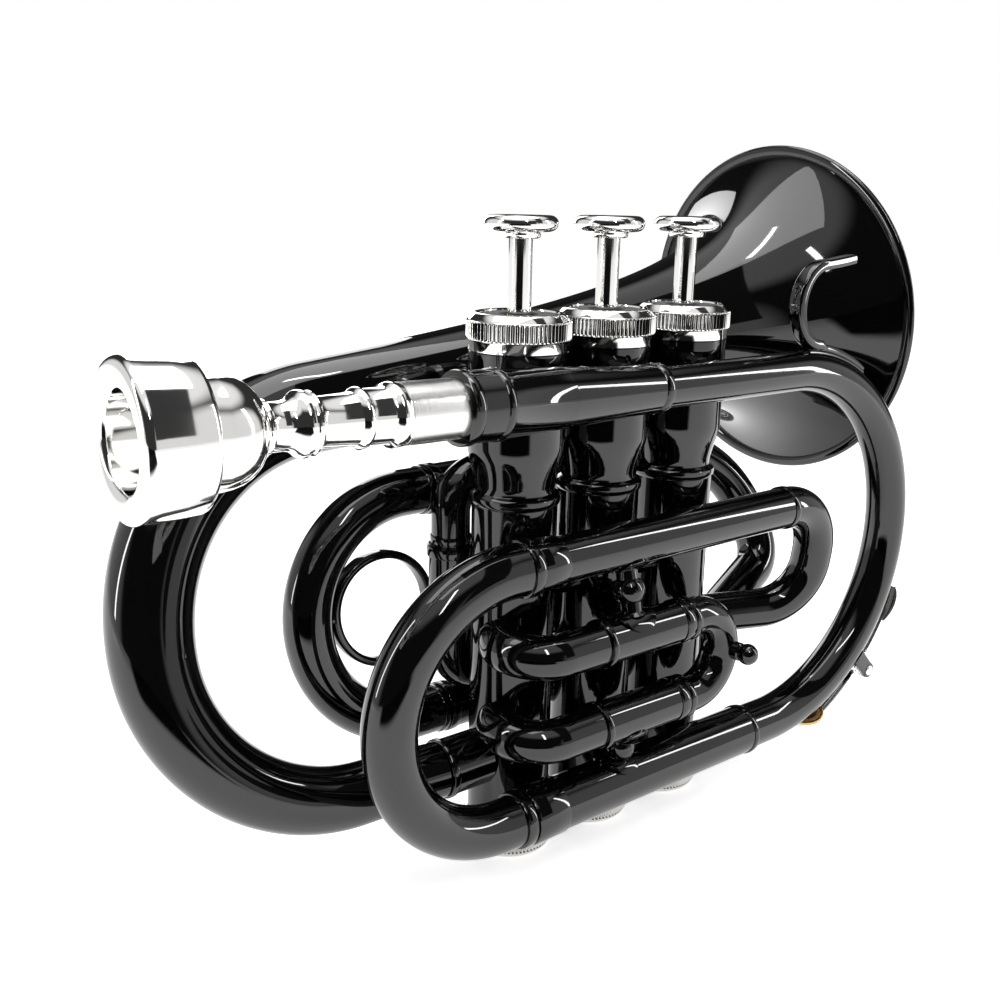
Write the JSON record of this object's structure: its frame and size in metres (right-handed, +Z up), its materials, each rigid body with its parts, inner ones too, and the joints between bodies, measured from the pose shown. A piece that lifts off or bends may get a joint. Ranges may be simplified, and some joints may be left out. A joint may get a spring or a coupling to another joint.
{
  "type": "pocket trumpet",
  "caption": "Black lacquered pocket trumpet with silver valve caps, finger buttons and mouthpiece, pull-out tuning slides, finger ring, finger hook and water key.",
  "frame": {"origin": "middle valve axis at the flat face of its bottom cap", "axes": "+X forward towards the bell mouth, +Y to the player's left, +Z up along the valve axes"},
  "size_m": [0.2231, 0.1096, 0.167],
  "materials": {
    "black_lacquer": "gloss",
    "silver_plate": "polished",
    "piston_metal": "polished",
    "spring_steel": "satin",
    "spring_brass": "satin",
    "bare_metal": "gloss",
    "felt": "matte",
    "guide_plastic": "satin",
    "cork": "matte"
  },
  "bodies": {
    "horn": {"mouthpiece_receiver": "black_lacquer", "leadpipe": "black_lacquer", "front_bow": "black_lacquer", "lower_tuning_sleeve": "black_lacquer", "upper_return_tube": "black_lacquer", "tuning_sleeve_ferrules": "black_lacquer", "third_valve_inlet_bow": "black_lacquer", "bell": "black_lacquer", "bell_rear_bow": "black_lacquer", "bell_tail_ferrule": "black_lacquer", "valve_connecting_tubes": "black_lacquer", "valve_1_casing": "black_lacquer", "valve_2_casing": "black_lacquer", "valve_3_casing": "black_lacquer", "valve_1_top_cap": "silver_plate", "valve_2_top_cap": "silver_plate", "valve_3_top_cap": "silver_plate", "valve_1_bottom_cap": "silver_plate", "valve_2_bottom_cap": "silver_plate", "valve_3_bottom_cap": "silver_plate", "valve_1_spring": "spring_steel", "valve_2_spring": "spring_steel", "valve_3_spring": "spring_steel", "top_cap_felts": "felt", "valve_guides": "guide_plastic", "first_slide_elbows": "black_lacquer", "first_slide_sleeves": "black_lacquer", "second_slide_sleeves": "black_lacquer", "third_slide_upper_sleeve": "black_lacquer", "third_slide_lower_sleeve": "black_lacquer", "third_slide_front_bow": "black_lacquer", "ball_braces": "black_lacquer", "bell_braces": "black_lacquer", "third_slide_brace": "black_lacquer", "finger_hook": "black_lacquer", "water_key_saddle": "bare_metal", "water_key_pin": "silver_plate", "water_key_spring": "spring_brass"},
    "valve_1": {"valve_1_piston": "piston_metal", "valve_1_stem": "silver_plate", "valve_1_button": "silver_plate", "valve_1_stem_felt": "felt"},
    "valve_2": {"valve_2_piston": "piston_metal", "valve_2_stem": "silver_plate", "valve_2_button": "silver_plate", "valve_2_stem_felt": "felt"},
    "valve_3": {"valve_3_piston": "piston_metal", "valve_3_stem": "silver_plate", "valve_3_button": "silver_plate", "valve_3_stem_felt": "felt"},
    "tuning_slide": {"tuning_slide_bow": "black_lacquer", "tuning_slide_legs": "silver_plate"},
    "first_slide": {"first_slide_bow": "black_lacquer", "first_slide_knob": "black_lacquer"},
    "second_slide": {"second_slide_bow": "black_lacquer"},
    "third_slide": {"third_slide_bow": "black_lacquer", "third_slide_finger_ring": "black_lacquer"},
    "water_key": {"water_key_lever": "silver_plate", "water_key_cork": "cork"},
    "mouthpiece": {"mouthpiece": "silver_plate"}
  },
  "joints": [
    {"name": "valve_1_press", "type": "slide", "parent": "horn", "child": "valve_1", "axis": [0, 0, -1], "range_m": [0, 0.0156], "stiffness_N_per_m": 130, "springref_m": -0.012, "deforming": ["valve_1_spring"]},
    {"name": "valve_2_press", "type": "slide", "parent": "horn", "child": "valve_2", "axis": [0, 0, -1], "range_m": [0, 0.0156], "stiffness_N_per_m": 130, "springref_m": -0.012, "deforming": ["valve_2_spring"]},
    {"name": "valve_3_press", "type": "slide", "parent": "horn", "child": "valve_3", "axis": [0, 0, -1], "range_m": [0, 0.0156], "stiffness_N_per_m": 130, "springref_m": -0.012, "deforming": ["valve_3_spring"]},
    {"name": "tuning_slide_pull", "type": "slide", "parent": "horn", "child": "tuning_slide", "axis": [-1, 0, 0], "range_m": [0, 0.03]},
    {"name": "first_slide_pull", "type": "slide", "parent": "horn", "child": "first_slide", "axis": [1, 0, 0], "range_m": [0, 0.015]},
    {"name": "second_slide_pull", "type": "slide", "parent": "horn", "child": "second_slide", "axis": [0, 0, 1], "range_m": [0, 0.005]},
    {"name": "third_slide_pull", "type": "slide", "parent": "horn", "child": "third_slide", "axis": [-1, 0, 0], "range_m": [0, 0.022]},
    {"name": "water_key_open", "type": "hinge", "parent": "horn", "child": "water_key", "pos_m": [0.0875, -0.0173, 0.0229], "axis": [0, -1, 0], "range_deg": [0, 9], "stiffness_Nm_per_rad": 0.02, "springref_deg": -17.19},
    {"name": "mouthpiece_pull", "type": "slide", "parent": "horn", "child": "mouthpiece", "axis": [-0.9999, 0, 0.0152], "range_m": [0, 0.03]}
  ]
}
